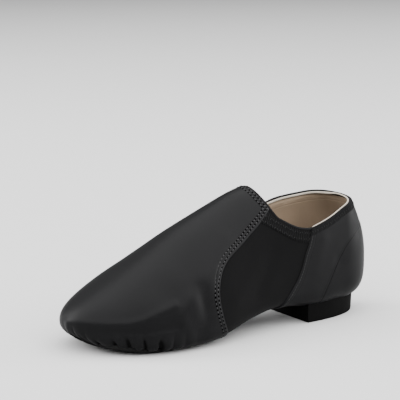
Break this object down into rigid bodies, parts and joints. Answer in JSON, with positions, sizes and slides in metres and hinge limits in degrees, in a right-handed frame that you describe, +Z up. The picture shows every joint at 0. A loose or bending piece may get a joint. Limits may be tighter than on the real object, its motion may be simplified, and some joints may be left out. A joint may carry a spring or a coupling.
{
  "type": "jazz dance shoe",
  "caption": "Low slip-on jazz dance shoe for the left foot: leather vamp and quarter, stretch arch and side panels, split sole with an oval forefoot patch and a low heel block.",
  "frame": {"origin": "centre of the bounding box in plan, on the floor that the heel block and the forefoot sole stand on", "axes": "+X towards the toe, +Y towards the outer side of the left foot, +Z up"},
  "size_m": [0.24, 0.085, 0.0998],
  "materials": {
    "upper": "matte black stretch fabric outside, tan canvas inside",
    "vamp": "smooth black leather with a soft sheen",
    "quarter": "smooth black leather with a soft sheen",
    "elastic_band_lateral": "ribbed black elastic",
    "elastic_band_medial": "ribbed black elastic",
    "forefoot_sole": "matte black rubber with fine tread",
    "heel_block": "matte black rubber with fine tread",
    "insole": "tan canvas sock"
  },
  "bodies": {
    "root": {"upper": "upper", "vamp": "vamp", "quarter": "quarter", "elastic_band_lateral": "elastic_band_lateral", "elastic_band_medial": "elastic_band_medial", "forefoot_sole": "forefoot_sole", "heel_block": "heel_block", "insole": "insole"}
  },
  "joints": []
}
